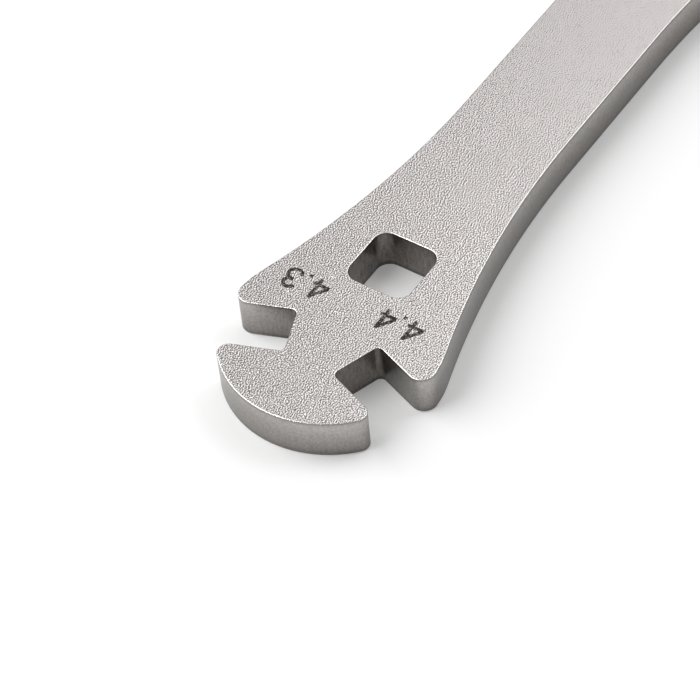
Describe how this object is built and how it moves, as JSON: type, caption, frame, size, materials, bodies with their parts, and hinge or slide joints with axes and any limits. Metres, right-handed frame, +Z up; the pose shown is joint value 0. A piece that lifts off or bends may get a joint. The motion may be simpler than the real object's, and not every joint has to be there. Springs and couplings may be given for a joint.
{
  "type": "spoke wrench",
  "caption": "Flat steel spoke wrench with leaning nipple slots in its rounded head, a rounded square hole behind them and a waisted grip that ends in a plain round paddle.",
  "frame": {"origin": "centre of the plate's bounding box on its lower face, z = 0 on the surface that the wrench lies on", "axes": "+X along the plate from the slotted head to the plain end, +Y across the plate towards the 4.3 mm slot, +Z up out of the face with the size numbers"},
  "size_m": [0.0864, 0.0182, 0.0037],
  "materials": {
    "blasted_steel": "bead blasted, matt and fine-grained, with softened edges"
  },
  "bodies": {
    "root": {"wrench_plate": "blasted_steel"}
  },
  "joints": []
}
